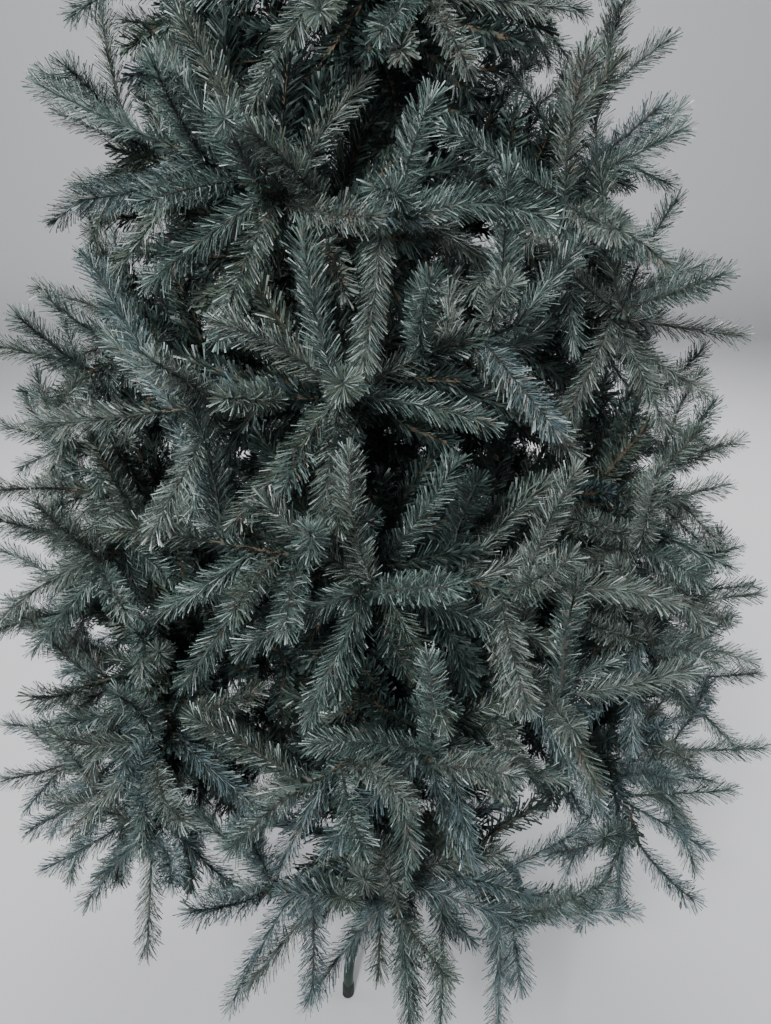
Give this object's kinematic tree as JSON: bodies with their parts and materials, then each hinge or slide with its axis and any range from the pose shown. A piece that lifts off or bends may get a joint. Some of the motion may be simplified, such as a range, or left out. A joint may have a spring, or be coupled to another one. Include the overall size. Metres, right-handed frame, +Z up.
{
  "type": "artificial christmas tree",
  "caption": "Undecorated artificial conifer with star-shaped sprays of blue-green needles on hinged wire boughs, on a sectional pole with a low splayed tube stand.",
  "frame": {"origin": "on the pole's axis at the floor, which is the centre of the bounding box's bottom", "axes": "+Z up along the pole, -Y towards the front of the tree, +X to the right as seen from the front"},
  "size_m": [1.3397, 1.3381, 2.4],
  "materials": {
    "foliage": "matt thin strip needles in blue-green, pale grey-green and dark green",
    "branch_wire": "wire wrapped in brown-green strip",
    "pole_paint": "dark green semi-gloss paint on steel tube",
    "foot_rubber": "matt black-green moulded cap"
  },
  "bodies": {
    "root": {"pole_lower": "pole_paint", "pole_middle": "pole_paint", "pole_upper": "pole_paint", "stand_sleeve": "pole_paint", "stand_leg_1": "pole_paint", "stand_leg_2": "pole_paint", "stand_leg_3": "pole_paint", "stand_leg_4": "pole_paint", "foot_cap_1": "foot_rubber", "foot_cap_2": "foot_rubber", "foot_cap_3": "foot_rubber", "foot_cap_4": "foot_rubber", "bough_1_1": "branch_wire", "bough_1_2": "branch_wire", "bough_1_3": "branch_wire", "bough_1_4": "branch_wire", "bough_1_5": "branch_wire", "bough_1_6": "branch_wire", "bough_2_1": "branch_wire", "bough_2_2": "branch_wire", "bough_2_3": "branch_wire", "bough_2_4": "branch_wire", "bough_2_5": "branch_wire", "bough_2_6": "branch_wire", "bough_3_1": "branch_wire", "bough_3_2": "branch_wire", "bough_3_3": "branch_wire", "bough_3_4": "branch_wire", "bough_3_5": "branch_wire", "mass_1_1": "foliage", "mass_1_2": "foliage", "mass_1_3": "foliage", "mass_1_4": "foliage", "mass_1_5": "foliage", "mass_1_6": "foliage", "mass_2_1": "foliage", "mass_2_2": "foliage", "mass_2_3": "foliage", "mass_2_4": "foliage", "mass_2_5": "foliage", "mass_2_6": "foliage", "mass_3_1": "foliage", "mass_3_2": "foliage", "mass_3_3": "foliage", "mass_3_4": "foliage", "mass_3_5": "foliage", "mass_4_1": "foliage", "mass_4_2": "foliage", "mass_4_3": "foliage", "mass_4_4": "foliage", "mass_5_1": "foliage", "mass_5_2": "foliage", "mass_5_3": "foliage", "mass_5_4": "foliage", "mass_6_1": "foliage", "mass_6_2": "foliage", "mass_6_3": "foliage", "mass_7_1": "foliage", "mass_7_2": "foliage", "mass_leader": "foliage"}
  },
  "joints": []
}
